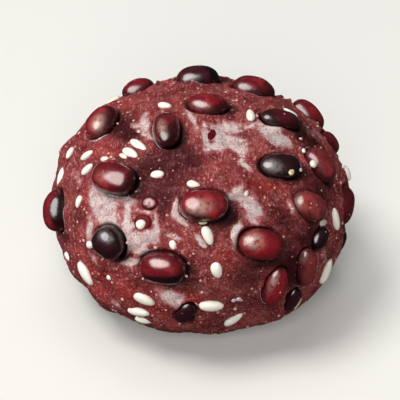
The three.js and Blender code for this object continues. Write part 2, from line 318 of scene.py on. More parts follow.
def readBean(name, number):  # its length joins the two corners farthest apart, its width is the widest way across
    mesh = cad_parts[name].data
    corners = np.empty(len(mesh.vertices) * 3)
    mesh.vertices.foreach_get("co", corners)
    corners = np.unique(np.round(corners.reshape(-1, 3) / mm, 3), axis=0) - [0, 0, beltHeight]
    apart = np.linalg.norm(corners[:, None] - corners[None], axis=-1)
    first, last = np.unravel_index(apart.argmax(), apart.shape)
    middle = (corners[first] + corners[last]) / 2
    longSide = unit(corners[last] - corners[first])
    flat = corners - middle
    flat = flat - np.outer(flat @ longSide, longSide)
    wideSide = np.linalg.eigh(flat.T @ flat)[1][:, 2]
    outSide = np.cross(wideSide, longSide)
    if outSide @ middle < 0:
        wideSide, outSide = -wideSide, -outSide
    halfWide = np.abs(flat @ wideSide).max()
    half = np.array([halfWide, apart.max() / 2, halfWide * beanLook["thickness"]])
    return {
        "name": name,
        "number": number,
        "middle": middle,
        "axes": np.array([wideSide, longSide, outSide]),
        "half": half,
    }


beans = [readBean(name, k) for k, name in enumerate(sorted(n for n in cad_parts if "_bean_" in n))]
print("beans read:", len(beans))


def ovalReach(local):  # (x^p + y^p + z^p)^(1/p), which is 1 on a bean's skin
    return (np.abs(local) ** beanLook["power"]).sum(-1) ** (1 / beanLook["power"])


def beanReach(spot, bean):  # how far out a point is from a bean's middle
    return ovalReach((spot - bean["middle"]) @ bean["axes"].T / bean["half"])


def beanSides(bean):  # level, upward and outward directions, as seen from outside
    out = bean["axes"][2]
    east = unit(np.cross([0, 0, 1], out))
    return np.array([east, np.cross(out, east), out])


# the paste
paste = {
    "rows": 124,  # squares along each side of the cube that is blown up to the ball
    "rimRise": 0.55,  # the rim round a bean
    "rimAt": 1.22,
    "rimSpread": 0.17,
    "rimWaves": (0.8, 0.3, 5.0),  # middle, swing and period of its height
    "rimLimits": (0.2, 1.5),
    "gutterDepth": 0.5,  # the dark gap between bean and rim
    "gutterSpread": 0.14,
    "gapShadeReach": 0.09,  # how far the painted shade in the gap reaches
    "under": 1.2,  # how far the paste stays below a bean's skin
    "underFrom": 0.75,
    "shadowWay": wayOf(70, -35),  # painted shadow: the paste is darker on this side of a bean, where its shadow falls
    "shadowLeast": 0.25,  # how much of it there is on the other side
    "shadowSpread": (0.10, 0.42),
    "relief": [(0.16, 8.0), (0.09, 3.4), (0.045, 1.5)],  # rise and period of kneading, mash and grit
    "calm": 0.35,  # how much of the relief is left against a bean
    "calmReach": 1.5,
    "around": 2.2,  # half lengths round a bean's middle within which the bean shapes the paste
    "crumbCount": 420,  # flattened bits of mashed bean in the surface
    "crumbSize": (0.6, 1.6),
    "crumbRise": (0.04, 0.13),
    "crumbStretch": (0.5, 0.9),
    "footShade": (12, 1),  # painted shade: heights between which the paste darkens towards the foot
    "seed": 31,
}

# places on the paste: bearing, lift, turn, half length, half width, strength
# pale patches of starch, which are also painted sheen
starchAndSheenSpots = [
    (-48, 25, -22, 4.9, 1.5, 1), (-46, 31, 14, 4.5, 0.6, 0.9), (-42, 25, -47, 3.1, 1.2, 1),
    (-39, 30, 12, 2.5, 0.5, 0.6), (-33, 25, -73, 2.9, 0.75, 0.82), (-25, 20, 0, 2.9, 0.9, 0.9),
    (-19, 26, -76, 2.4, 0.5, 0.8), (-26, 30, 5, 1.7, 0.4, 0.7), (-12, 34, 89, 1.7, 0.6, 1),
    (-8, 29, -42, 1.9, 0.5, 1), (-80, 63, -9, 3.6, 0.9, 0.8), (-74, 59, 17, 2.8, 0.7, 0.6),
    (-51, 61, -6, 1.5, 0.4, 0.7), (-30, 82, -41, 2.8, 0.6, 0.9), (7, 70, 87, 3.4, 0.6, 1),
    (20, 63, 3, 3.1, 1.1, 1), (54, 73, -44, 3.1, 1.3, 0.9), (33, 66, -58, 2.9, 1.6, 1),
    (26, 69, 67, 3, 0.7, 1), (35, 59, -54, 2.3, 0.8, 0.9), (34, 57, -73, 1.7, 0.7, 0.8),
    (31, 49, -72, 1.8, 0.7, 0.8), (37, 56, 45, 2, 0.4, 0.8), (71, 54, 79, 3.5, 1.5, 1),
    (72, 50, 64, 2.7, 1.3, 1), (64, 52, 84, 2, 1, 0.9), (21, 37, -37, 1.7, 0.6, 0.9),
    (24, 33, -55, 2.4, 1, 1), (26, 31, -83, 1.5, 0.7, 0.9), (23, 28, -69, 1.4, 0.6, 0.8),
    (15, 25, 51, 1.6, 0.6, 1), (14, 22, 85, 1.5, 0.6, 1), (-48, 15, -75, 2.7, 0.9, 0.9),
    (-45, 4, -18, 2.4, 0.8, 0.5), (-31, 22, 38, 1.9, 0.6, 0.8), (-23, 21, 31, 3.3, 1, 1),
    (-24, 16, -2, 2.2, 0.9, 1), (-27, 10, 24, 2.3, 0.6, 1), (-19, 16, 2, 1.3, 0.4, 0.7),
    (-11, 23, -9, 1.4, 0.5, 0.8), (0, 22, -60, 1.3, 0.5, 0.9), (18, 39, 20, 1.6, 0.8, 0.9),
    (-11, -2, -10, 2.1, 1.6, 1), (0, 22, -50, 1.5, 0.5, 0.9), (54, 0, -63, 3.1, 1.1, 0.45),
    (-34, -15, -23, 2, 0.8, 0.35), (42, 27, 80, 1.1, 0.4, 0.7), (-71, 26, 0, 2.5, 0.8, 0.5),
    (95, 36, -66, 3.5, 1.7, 0.4), (-37, 22, -60, 5.2, 3.4, 0.36), (22, 34, -50, 4.2, 2.4, 0.34),
    (40, 64, 30, 5.0, 3.4, 0.32),
]
shadeSpots = [  # painted shade: darker paste where shade falls beside beans and in the hollow
    (-29, 52, 32, 7.1, 3.1, 0.9), (-22, 43, 37, 5.3, 2.4, 0.8), (-19, 61, -28, 4.3, 2, 0.8),
    (-85, 53, 31, 3.6, 2.6, 1), (-73, 54, 20, 2.2, 1.6, 0.9), (-80, 51, 60, 2.6, 2.0, 1),
    (-35, 40, -81, 1.8, 1.3, 0.8), (-29, 68, -53, 2.9, 1.3, 0.8), (-19, 34, -39, 2.8, 1.4, 0.6),
    (89, 76, 16, 1.8, 1, 0.7), (82, 41, 46, 3.3, 2.1, 0.8), (60, 31, -74, 2.9, 1.7, 0.8),
    (67, 27, -59, 3.3, 1.5, 0.8), (14, 30, -63, 2.2, 1.1, 0.8), (62, 23, -59, 3.3, 1.7, 0.7),
    (36, 24, -56, 3.7, 2.1, 0.55), (29, 10, -13, 6.2, 1.3, 0.9), (36, 2, -69, 3.5, 1.5, 1),
    (20, 6, -4, 3.9, 2.3, 0.6), (37, 10, -78, 3.2, 1.4, 0.7), (-30, 11, 51, 1.8, 0.9, 0.8),
    (-8, 8, 58, 3.2, 0.8, 0.8), (19, -8, -13, 5.4, 2.1, 0.5), (49, 9, -40, 3.1, 1.4, 0.8),
    (39, -1, 60, 2.6, 1.2, 0.9), (38, -13, 50, 2.4, 1.1, 0.9), (42, 14, -30, 2.6, 1.3, 0.7),
    (94, 39, 40, 2.6, 1.8, 0.9), (88, 36, 50, 2.6, 1.8, 0.9), (86, 43, 30, 2.0, 1.4, 0.8),
    (36, 4, 80, 2.6, 1.4, 1), (37, -2, 80, 2.6, 1.4, 1), (46, 11, -40, 2.4, 1.5, 1),
    (41, 7, 60, 2.2, 1.3, 0.8), (24, 11, 0, 2.6, 1.2, 0.8), (11, 29, 40, 1.8, 1.0, 0.9),
    (-19, 34, 70, 2.6, 1.6, 0.7), (-16, 38, 20, 2.6, 1.6, 0.6), (-34, 38, 70, 2.4, 1.3, 0.95),
    (49, 15, 0, 1.7, 1.5, 0.9),
]
freshSpots = [  # clear red paste
    (-16, -10, -9, 3.5, 2.1, 1), (-33, -5, 7, 5.7, 2.8, 0.8), (-4, -2, -27, 2.6, 1.3, 0.9),
    (32, 39, -20, 4.3, 1.4, 0.9), (-113, 51, 49, 7.1, 2.8, 0.2), (-30, 17, 57, 1.5, 0.7, 0.8),
    (-37, 26, -52, 2, 0.8, 0.6), (-71, 39, 43, 4.6, 1.4, 0.5), (9, 16, -56, 2.9, 1.4, 0.5),
    (-48, -4, -22, 4.8, 3.2, 0.5),
]
dabs = {
    "seed": 12,
    "facing": -0.15,  # seeded ones only lie where the ball faces the front less than this
    "starch": 40,
    "deep": 16,
    "long": (1.2, 3.4),
    "wide": (0.5, 1.5),
    "strength": (0.5, 1),
    "lowest": -0.6,
    "swell": 1.15,
}


def crumbRelief(way, spot):  # low oval bumps round random directions, each rise * (1 - r^3)^0.7
    draw = np.random.default_rng(paste["seed"])
    relief = np.zeros(len(way))
    for _ in range(paste["crumbCount"]):
        middle = unit(draw.normal(size=3))
        side = unit(np.cross(middle, draw.normal(size=3)))
        size = draw.uniform(*paste["crumbSize"])
        stretch = draw.uniform(*paste["crumbStretch"])
        rise = draw.uniform(*paste["crumbRise"])
        near = np.nonzero(way @ middle > 0.99)[0]  # within 8 degrees
        offset = spot[near] - middle * np.linalg.norm(spot[near], axis=1, keepdims=True)
        along = offset @ side / size
        across = offset @ np.cross(middle, side) / (size * stretch)
        bump = rise * np.clip(1 - (along**2 + across**2) ** 1.5, 0, 1) ** 0.7
        relief[near] = np.maximum(relief[near], bump)
    return relief


def bell(distance, spread):  # exp(-(distance / spread)^2)
    return np.exp(-((distance / spread) ** 2))


def pasteForm(way):  # the ground with relief, a rim and a gap round each bean, and no paste above a bean
    radius = groundRadius(way)
    spot = way * radius[:, None]
    relief = crumbRelief(way, spot)
    for seed, (rise, period) in enumerate(paste["relief"], 1):
        relief = relief + rise * waves(spot, period, seed)
    rimMiddle, rimSwing, rimPeriod = paste["rimWaves"]
    rimHeight = np.clip(rimMiddle + rimSwing * waves(spot, rimPeriod, 4), *paste["rimLimits"])
    # marks for the shape, and two of painted shade: in the gap round a bean and the shadow a bean casts
    rim, gutter, gapShade, sink, lee = (np.zeros(len(way)) for _ in range(5))
    nearest = np.full(len(way), 9.0)
    for bean in beans:
        bare = 1 - beanLook["covered"].get(bean["name"], 0)
        near = np.nonzero(np.linalg.norm(spot - bean["middle"], axis=1) < paste["around"] * bean["half"][1])[0]
        reach = beanReach(spot[near], bean)
        side = np.clip(unit(spot[near] - bean["middle"]) @ paste["shadowWay"], 0, 1)
        shadowSpread, shadowPart = between(paste["shadowSpread"], side), between((paste["shadowLeast"], 1), side)
        nearest[near] = np.minimum(nearest[near], reach)
        for mark, here in (
            (rim, bell(reach - paste["rimAt"], paste["rimSpread"])),
            (gutter, bare * bell(reach - 1, paste["gutterSpread"])),
            (gapShade, bare * bell(reach - 1, paste["gapShadeReach"])),
            (sink, smoothStep(1, paste["underFrom"], reach)),
            (lee, bare * shadowPart * bell(np.maximum(reach - 1, 0), shadowSpread)),
        ):
            mark[near] = np.maximum(mark[near], here)
    rough = between((paste["calm"], 1), smoothStep(1, paste["calmReach"], nearest))
    radius = radius + relief * rough + paste["rimRise"] * rim * rimHeight
    radius = radius - paste["gutterDepth"] * gutter - paste["under"] * sink
    # the table cuts the underside flat
    floor = np.where(way[:, 2] < -0.2, -beltHeight / np.minimum(way[:, 2], -0.2), 1e3)
    return np.minimum(radius, floor), spot, {"gutter": gapShade, "lee": lee, "rise": relief, "near": nearest}


def farSpots(count, draw):  # seeded places on the side that the front doesn't show
    rows = []
    while len(rows) < count:
        bearing, lift = draw.uniform(-180, 180), math.degrees(math.asin(draw.uniform(dabs["lowest"], 1)))
        long, wide = draw.uniform(*dabs["long"]), draw.uniform(*dabs["wide"])
        turn, strength = draw.uniform(-90, 90), draw.uniform(*dabs["strength"])
        if axesAt(bearing, lift)[0] @ frontWay < dabs["facing"]:
            rows.append((bearing, lift, turn, long, wide, strength))
    return rows


def dabMark(spot, rows):  # one minus the product of what each oval bell leaves, 1 - strength * exp(-r^3)
    left = np.ones(len(spot))
    for bearing, lift, turn, long, wide, strength in rows:
        out, east, up = axesAt(bearing, lift)
        middle = wayOf(bearing, lift)
        offset = spot - middle * smoothRadius(middle)
        along = offset @ turned(east, up, turn) / long
        across = offset @ turned(up, -east, turn) / wide
        away = (along**2 + across**2 + (offset @ out / long) ** 2) / dabs["swell"] ** 2
        left *= 1 - strength * np.exp(-(away**1.5))
    return 1 - left


# some colours here paint shade: in hollows, in deep places, beside beans, in the gap round a bean and towards the
# foot; the starch colours also paint sheen
pasteColours = {
    "deep cloud": (0.115, 0.012, 0.014), "mid cloud": (0.222, 0.034, 0.034),
    "rosy": (0.290, 0.072, 0.068), "tan": (0.180, 0.060, 0.040),
    "clear red": (0.300, 0.018, 0.014), "crimson": (0.165, 0.008, 0.012),
    "sand": (0.44, 0.205, 0.190), "dark stroke": (0.050, 0.009, 0.012),
    "light stroke": (0.46, 0.22, 0.21), "hollow": (0.045, 0.007, 0.008),
    "shade and dark paste": (0.026, 0.005, 0.007), "halo": (0.37, 0.150, 0.150),
    "starch": (0.55, 0.475, 0.455), "pink starch and sheen": (0.46, 0.33, 0.325),
    "vein": (0.30, 0.11, 0.12), "grey stroke": (0.13, 0.09, 0.095),
    "fine stroke": (0.16, 0.11, 0.11), "lee": (0.015, 0.008, 0.009),
    "gap": (0.008, 0.005, 0.006), "foot": (0.03, 0.006, 0.008),
}


def pasteMaterial():
    material, shader = newMaterial("mashed red bean paste")
    marks = ("starch", "gutter", "rise", "foot", "deep", "fresh", "lee")
    starch, gutter, rise, foot, deep, fresh, lee = (markNode(material, mark) for mark in marks)
    tint = pasteColours
    # maroon clouds, rosy and tan blotches, clear red places, crimson and sandy bits, strokes, painted shade in the
    # relief's hollows, and painted shade with darker paste in the deep places
    clouds = mixNode(material, blotch(material, 6, 0.34, 0.66), tint["deep cloud"], tint["mid cloud"])
    sand = times(material, blotch(material, 0.5, 0.52, 0.68, 0.7), blotch(material, 3.4, 0.28, 0.6))
    colour = layered(material, clouds, [
        (blotch(material, 2.6, 0.46, 0.68, 0.6), tint["rosy"]),
        (blotch(material, 3.2, 0.54, 0.70, 0.55), tint["tan"]),
        (times(material, fresh, blotch(material, 1.6, 0.25, 0.55, 0.85)), tint["clear red"]),
        (blotch(material, 1.1, 0.52, 0.66, 0.6), tint["crimson"]),
        (sand, tint["sand"]),
        (strokes(material, 1.6, 0.34, (20, 40, 30), 0.57, 0.70, 0.5), tint["dark stroke"]),
        (strokes(material, 1.4, 0.40, (70, 10, 60), 0.57, 0.71, 0.6), tint["light stroke"]),
        # painted shade in the hollows of the relief
        (rangeNode(material, rise, 0.05, -0.35, 0, 0.35), tint["hollow"]),
        # painted shade in the listed deep places, darker paste in the seeded ones
        (times(material, deep, blotch(material, 1.2, 0.05, 0.52, 0.94)), tint["shade and dark paste"]),
    ])
    # patches of starch and painted sheen: a crisp uneven edge with a pink halo, veins, and short grey strokes all
    # over
    uneven = rangeNode(material, noiseNode(material, 2.0, 3, 0.6, 0.8), 0.2, 0.8, -0.36, 0.32)
    ragged = rangeNode(material, noiseNode(material, 0.6, 2, 0.6, 1.5), 0.2, 0.8, -0.13, 0.13)
    edge = mathNode(material, "ADD", mathNode(material, "ADD", starch, uneven), ragged)
    veins = mathNode(material, "SUBTRACT", noiseNode(material, 1.7, 2, 0.5, 2.4), 0.5)
    veins = rangeNode(material, mathNode(material, "ABSOLUTE", veins), 0.04, 0.005, 0, 0.7)
    pale = mixNode(material, blotch(material, 1.8, 0.44, 0.64), tint["starch"], tint["pink starch and sheen"])
    pale = layered(material, pale, [
        (veins, tint["vein"]),
        (strokes(material, 1.3, 0.30, (20, 40, 30), 0.61, 0.69, 0.75), tint["grey stroke"]),
        (strokes(material, 0.9, 0.26, (60, 20, 70), 0.64, 0.70, 0.7), tint["fine stroke"]),
    ])
    patch = rangeNode(material, edge, 0.42, 0.72, 0, 0.94)
    colour = layered(material, colour, [
        (rangeNode(material, edge, 0.14, 0.52, 0, 0.8), tint["halo"]),
        # starch with painted sheen
        (patch, pale),
        # painted shadow of each bean on the paste
        (times(material, lee, 0.93), tint["lee"]),
        # painted shade in the gap round each bean
        (times(material, gutter, 0.9), tint["gap"]),
        # painted shade, darker towards the foot
        (times(material, foot, 0.4), tint["foot"]),
    ])
    satin = rangeNode(material, noiseNode(material, 1.3, 3, 0.6), 0.3, 0.7, 0.42, 0.62)
    grit = mathNode(material, "ADD", noiseNode(material, 0.38, 3, 0.65), noiseNode(material, 0.9, 3, 0.6))
    setSockets(material, shader, {
        "Base Color": colour,
        "Roughness": mixNumber(material, patch, satin, 0.30),
        "Normal": bumpNode(material, grit, 0.40, 0.14),
        "Subsurface Weight": 0.10,
        "Subsurface Radius": [1.0, 0.25, 0.2],
        "Subsurface Scale": 1.0 * mm,
        "Specular IOR Level": 0.02,
    })
    return material


def makePaste():  # the cube's ball, each point pushed out to the radius of the finished paste
    way, faces = cubeBall(paste["rows"])
    radius, spot, marks = pasteForm(way)
    height = way[:, 2] * radius + beltHeight
    draw = np.random.default_rng(dabs["seed"])
    del marks["near"]
    # starch patches with painted sheen
    marks["starch"] = dabMark(spot, starchAndSheenSpots + farSpots(dabs["starch"], draw))
    # painted shade in the listed places, darker paste in the seeded ones
    marks["deep"] = dabMark(spot, shadeSpots + farSpots(dabs["deep"], draw))
    marks["fresh"] = dabMark(spot, freshSpots)
    # painted shade, darker towards the foot
    marks["foot"] = smoothStep(*paste["footShade"], height)
    makePastePiece("paste", way * radius[:, None], faces, pasteMaterial(), marks)


makePaste()
print("paste made")


# each skin's film colour is laid both as a film and as painted highlights
skinLook = {
    "red": {
        "name": "red bean skin",
        "deep": (0.034, 0.003, 0.006), "bright": (0.255, 0.008, 0.016), "warm": (0.35, 0.023, 0.023),
        "film": (0.40, 0.26, 0.22), "coat": 1.0, "specular": 0.15,
    },
    "black": {
        "name": "black bean skin",
        "deep": (0.005, 0.002, 0.004), "bright": (0.10, 0.006, 0.014), "warm": (0.16, 0.012, 0.02),
        "film": (0.22, 0.19, 0.19), "coat": 1.0, "specular": 0.15,
    },
    "scrap": {
        "name": "scrap of bean skin",
        "deep": (0.045, 0.004, 0.008), "bright": (0.15, 0.008, 0.014), "warm": (0.18, 0.016, 0.02),
        "film": (0.52, 0.37, 0.36), "coat": 0.0, "specular": 0.03,
    },
}
flankShade = 0.22  # how much of the deep colour is left where shade is painted on the flank


def skinMaterial(look):
    material, shader = newMaterial(look["name"])
    tone, film, flank = (markNode(material, mark) for mark in ("tone", "film", "flank"))
    # deep and bright clouds, warm blotches, dark flecks and strokes, a dried film with painted highlights, and
    # painted shade on the lower flank
    cloud = rangeNode(material, noiseNode(material, 4.5, 3, 0.55), 0.3, 0.7, 0.45, 1.0)
    # the film and the painted highlights, broken by noise
    filmAndHighlightPart = times(material, film, blotch(material, 0.8, 0.28, 0.56))
    colour = layered(material, look["deep"], [
        (times(material, cloud, tone), look["bright"]),
        (times(material, blotch(material, 2.4, 0.46, 0.66, 0.8), tone), look["warm"]),
        (blotch(material, 1.3, 0.52, 0.72, 0.4), look["deep"]),
        (strokes(material, 1.5, 0.3, (50, 20, 30), 0.60, 0.74, 0.35), look["deep"]),
        (filmAndHighlightPart, look["film"]),
        # painted shade on the lower flank and on given sides
        (flank, tuple(flankShade * part for part in look["deep"])),
    ])
    ripple = mathNode(material, "ADD", noiseNode(material, 2.0, 3, 0.5), noiseNode(material, 0.6, 2, 0.5))
    wet = mathNode(material, "ADD", noiseNode(material, 1.3, 3, 0.6, 1.0), noiseNode(material, 0.45, 2, 0.6, 1.0))
    setSockets(material, shader, {
        "Base Color": colour,
        "Roughness": rangeNode(material, filmAndHighlightPart, 0, 1, 0.26, 0.5),
        "Normal": bumpNode(material, ripple, 0.22, 0.16),
        "Coat Normal": bumpNode(material, wet, 0.20, 0.10),
        "Subsurface Weight": 0.08,
        "Subsurface Radius": [1.0, 0.2, 0.12],
        "Subsurface Scale": 0.8 * mm,
        "Coat Weight": look["coat"],
        "Coat IOR": 1.7,
        "Coat Roughness": 0.22,
        "Specular IOR Level": look["specular"],
    })
    return material


skins = {kind: skinMaterial(look) for kind, look in skinLook.items()}


def filmAndPaintedHighlights(bean, points):  # painted highlights and film: one minus the product of what each pale oval of dried syrup leaves, 1 - exp(-r^3 / 2)
    sides = beanSides(bean)
    bare = np.full(len(points), 1 - beanLook["film"].get(bean["name"], 0.0))
    for *place, turn, long, wide, strength in beanLook["paintedHighlights"].get(bean["name"], []):
        offset = points - bean["middle"] - place @ sides
        along = offset @ turned(sides[0], sides[1], turn)
        across = np.sqrt(np.maximum((offset**2).sum(-1) - along**2, 0))
        bare *= 1 - strength * np.exp(-(((along / long) ** 2 + (across / wide) ** 2) ** 1.5) / 2)
    return 1 - bare


def paintedFlankShade(bean, height, shape):  # painted shade: one minus the product of what the shaded low side, the shaded rim and each shaded side leave
    east, up, _ = beanSides(bean)
    away = -(unit(shape / bean["half"]) @ bean["axes"]) @ beanLook["paintedLightWay"]
    left = 1 - smoothStep(*beanLook["paintedShadeSpread"], height) * np.clip(0.5 + 0.5 * away, 0, 1)
    left *= 1 - beanLook["rim"] * smoothStep(*beanLook["rimSpread"], height)
    for angle, strength, start in beanLook["shadedSides"].get(bean["name"], []):
        side = turned(east, up, angle)
        most = np.linalg.norm((side @ bean["axes"].T) * bean["half"])
        reach = (shape * bean["half"]) @ bean["axes"] @ side / most
        left *= 1 - strength * smoothStep(start, start + beanLook["shadedSideSpread"], reach)
    return 1 - left


def makeBean(bean):  # an oval with one end fatter, bent by a parabola and slightly wrinkled
    way, faces = cubeBall(beanLook["rows"])
    local = way / ovalReach(way)[:, None]
    draw = np.random.default_rng(beanLook["seed"] + bean["number"])
    egg, bend = beanLook["egg"] * draw.uniform(-1, 1), beanLook["bend"] * draw.uniform(-1, 1)
    end = local[:, 1]
    wrinkle = waves(local * bean["half"], beanLook["wrinklePeriod"], bean["number"], beanLook["wrinkleWaves"])
    shape = local * (1 + beanLook["wrinkle"] * wrinkle)[:, None]
    shape[:, 0] = shape[:, 0] * (1 + egg * end) + bend * (end**2 - 0.4)
    shape[:, 2] = shape[:, 2] * (1 + egg * end)
    points = bean["middle"] + (shape * bean["half"]) @ bean["axes"]
    kind = bean["name"].split("_")[0]
    tone = beanLook["tone"].get(bean["name"], draw.uniform(*beanLook["otherTone"][kind]))
    marks = {
        "tone": np.full(len(points), tone),
        # painted highlights as pale ovals of syrup, and a thin film
        "film": filmAndPaintedHighlights(bean, points),
        # painted shade on the lower flank, near the paste and on given sides
        "flank": paintedFlankShade(bean, local[:, 2], shape),
    }
    piece = makePiece("bean_" + bean["name"], points, faces, skins[kind], marks)
    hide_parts(bean["name"])
    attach(piece, "root")


for bean in beans:
    makeBean(bean)
print("bean skins made")


# what lies on the paste
grainLook = {
    "thickness": 0.8,
    "proud": 0.6,
    "rows": 6,
    "seed": 77,
    "taper": (0.05, 0.22),
    "bend": 0.10,
}

# bearing, lift, turn, long, wide
grains = [
    (-126, 36, -36, 4.0, 1.9), (-111, 71, 82, 3.0, 1.6), (-86, 28, -51, 2.6, 1.4), (-75, 35, 80, 3.1, 1.5),
    (-68, 32, 80, 3.2, 1.6), (-57, 54, 8, 4.6, 1.6), (-55, 49, 10, 4.0, 1.7), (-28, 46, 27, 2.6, 1.6),
    (-83, 18, -56, 4.2, 1.9), (-60, 21, -80, 2.5, 1.3), (-4, 44, -14, 2.6, 1.5), (85, 66, 8, 3.6, 1.7),
    (91, 14, 61, 3.2, 1.6), (64, 11, 86, 4.8, 1.8), (57, -9, 67, 5.6, 2.2), (3, 24, -70, 3.7, 1.9),
    (6, 11, -78, 3.2, 2.1), (4, -5, -4, 4.7, 2.3), (13, -15, 45, 4.6, 1.8), (-49, -5, -46, 5.2, 2.4),
    (-63, -6, -18, 2.2, 1.4), (-11, 20, -70, 1.8, 1.3), (-22, -6, -16, 4.5, 2.3), (-25, -14, 9, 4.8, 2.0),
    (-24, -20, 18, 4.2, 1.9), (-25.4, 25.4, 53, 2.0, 1.8),
]
# smaller ones, which only lie on the paste or on a bean
smallGrains = [
    (-57, 46, 10, 2.0, 0.9), (-64, 40, 38, 2.0, 1.1), (110, 43, 54, 3.4, 1.3), (-46, 10, 26, 1.7, 1.5),
    (-37, -1, 25, 1.1, 1.1), (66.8, 34.7, 20, 1.7, 1.4), (71, 40, 20, 1.1, 0.8),
]
farGrains = {
    "seed": 4958,
    "drawsBefore": 900 * 5,  # draws that the beans of the far side take first
    "tries": 400,
    "count": 14,
    "spacing": 12,
    "lowest": -30,
    "facing": -0.24,
    "long": (2.8, 5.0),
    "wide": (1.6, 2.2),
}


def seededDraws(state):  # numbers from 0 to 1, each state 16807 times the last, less whole times 2147483647
    while True:
        state = state * 16807 % 2147483647
        yield state / 2147483647


def farGrainRows():  # the same seeded places as the solids have
    draws = seededDraws(farGrains["seed"])
    for _ in range(farGrains["drawsBefore"]):
        next(draws)
    taken = [unit(bean["middle"]) for bean in beans] + [wayOf(row[0], row[1]) for row in grains]
    nearest, lowest = math.cos(math.radians(farGrains["spacing"])), math.sin(math.radians(farGrains["lowest"]))
    rows = []
    for _ in range(farGrains["tries"]):
        bearing = -180 + 360 * next(draws)
        lift = math.degrees(math.asin(lowest + (1 - lowest) * next(draws)))
        turn, long, wide = next(draws), next(draws), next(draws)
        way = wayOf(bearing, lift)
        hidden = axesAt(bearing, lift)[0] @ frontWay < farGrains["facing"]
        if len(rows) < farGrains["count"] and hidden and max(way @ other for other in taken) < nearest:
            taken.append(way)
            sizes = between(farGrains["long"], long), between(farGrains["wide"], wide)
            rows.append((bearing, lift, -90 + 180 * turn, *sizes))
    return rows


# many small ovals in one mesh: balls stretched to their sizes, one end thinner, bent by a parabola
def pebbles(look, middles, half, axes):
    way, faces = cubeBall(look["rows"])
    draw = np.random.default_rng(look["seed"])
    local = np.repeat(way[None], len(middles), axis=0)
    point = draw.uniform(*look["taper"], (len(middles), 1))
    curve = draw.uniform(-look["bend"], look["bend"], (len(middles), 1))
    end = local[..., 1].copy()
    local[..., 0] = local[..., 0] * (1 - point * end) + curve * (end**2 - 0.3)
    local[..., 2] = local[..., 2] * (1 - point * end)
    points = middles[:, None] + np.einsum("nvk,nkj->nvj", local * half[:, None], axes)
    index = faces[None] + (len(way) * np.arange(len(middles)))[:, None, None]
    tone = np.repeat(draw.uniform(0, 1, len(middles)), len(way))
    return points.reshape(-1, 3), index.reshape(-1, 4), {"tone": tone, "end": np.tile(way[:, 1], len(middles))}


def pasteSeat(way):
    return pasteForm(way)[0]


def beanSeat(way):  # radius of the paste or of the bean over it, the furthest from 20 to 36 in steps of 0.025
    seat = pasteSeat(way)
    radii = np.arange(20, 36, 0.025)
    points = way[:, None] * radii[:, None]
    for bean in beans:
        inside = beanReach(points, bean) < 1
        seat = np.maximum(seat, np.where(inside, radii, 0).max(axis=1))
    return seat


def layOnPaste(look, rows, seatOf=pasteSeat):  # middles, half sizes and axes of ovals that lie on the paste
    bearing, lift, turn, long, wide = np.array(rows, float).T
    out, east, up = axesAt(bearing, lift)
    longSide = turned(east, up, turn[:, None])
    axes = np.stack([np.cross(longSide, out), longSide, out], axis=1)
    thick = wide * look["thickness"]
    way = wayOf(bearing, lift)
    middles = way * seatOf(way)[:, None] + out * (thick * (look["proud"] - 0.5))[:, None]
    return middles, np.stack([wide, long, thick], axis=-1) / 2, axes


def grainMaterial():
    material, shader = newMaterial("cream grain")
    tone, end = markNode(material, "tone"), markNode(material, "end")
    # paler and yellower grains, with faint straw clouds and a brownish tip
    blush = rangeNode(material, noiseNode(material, 1.4, 3, 0.6), 0.52, 0.75)
    tip = rangeNode(material, end, 0.72, 1.0)
    setSockets(material, shader, {
        "Base Color": layered(material, (0.79, 0.74, 0.65), [
            (tone, (0.84, 0.80, 0.72)),
            (times(material, blush, 0.35), (0.70, 0.60, 0.44)),
            (times(material, tip, 0.45), (0.60, 0.48, 0.32)),
        ]),
        "Roughness": 0.36,
        "Normal": bumpNode(material, noiseNode(material, 0.5, 3, 0.5), 0.15, 0.08),
        "Subsurface Weight": 0.25,
        "Subsurface Radius": [1.0, 0.8, 0.5],
        "Subsurface Scale": 0.6 * mm,
        "Coat Weight": 0.3,
        "Coat Roughness": 0.2,
    })
    return material


def makeGrains():
    bedded = layOnPaste(grainLook, grains + farGrainRows())
    lying = layOnPaste(grainLook, smallGrains, beanSeat)
    laid = [np.concatenate(both) for both in zip(bedded, lying)]
    points, faces, marks = pebbles(grainLook, *laid)
    makePastePiece("grains", points, faces, grainMaterial(), marks)
    print("grains laid:", len(laid[0]))


makeGrains()

# thin wet lips of paste against a bean, pale as a painted highlight: bean, from and to angle (0 right, 90 up),
# distance out, thickness
wetRims = [
    ("red_bean_01", 306, 378, 1.20, 0.60), ("red_bean_02", 194, 336, 1.14, 0.34),
    ("red_bean_03", 228, 332, 1.13, 0.26), ("red_bean_04", -20, 88, 1.14, 0.42),
    ("black_bean_01", 16, 104, 1.16, 0.40), ("red_bean_06", 112, 200, 1.12, 0.26),
    ("red_bean_07", 66, 160, 1.15, 0.30), ("red_bean_12", 168, 218, 1.10, 0.24),
    ("red_bean_13", 284, 348, 1.08, 0.28), ("red_bean_08", 112, 206, 1.10, 0.26),
    ("black_bean_02", 180, 274, 1.10, 0.24), ("red_bean_18", 196, 240, 1.10, 0.22),
    ("red_bean_11", 10, 96, 1.10, 0.26), ("red_bean_10", 120, 210, 1.12, 0.24),
    ("black_bean_06", 60, 110, 1.12, 0.24), ("red_bean_17", 188, 262, 1.08, 0.18),
    ("red_bean_14", 300, 346, 1.10, 0.24),
]
wetRimLook = {"steps": 40, "around": 6}


def rimPath(name, start, end, apart):  # points on the paste along a bean's outline
    bean = next(b for b in beans if b["name"] == name)
    east, up, _ = beanSides(bean)
    heading = turned(east, up, np.linspace(start, end, wetRimLook["steps"])[:, None])
    reach = ovalReach(heading @ bean["axes"][:2].T / bean["half"][:2])[:, None]
    way = unit(bean["middle"] + heading / reach * apart)
    return way * pasteSeat(way)[:, None], way


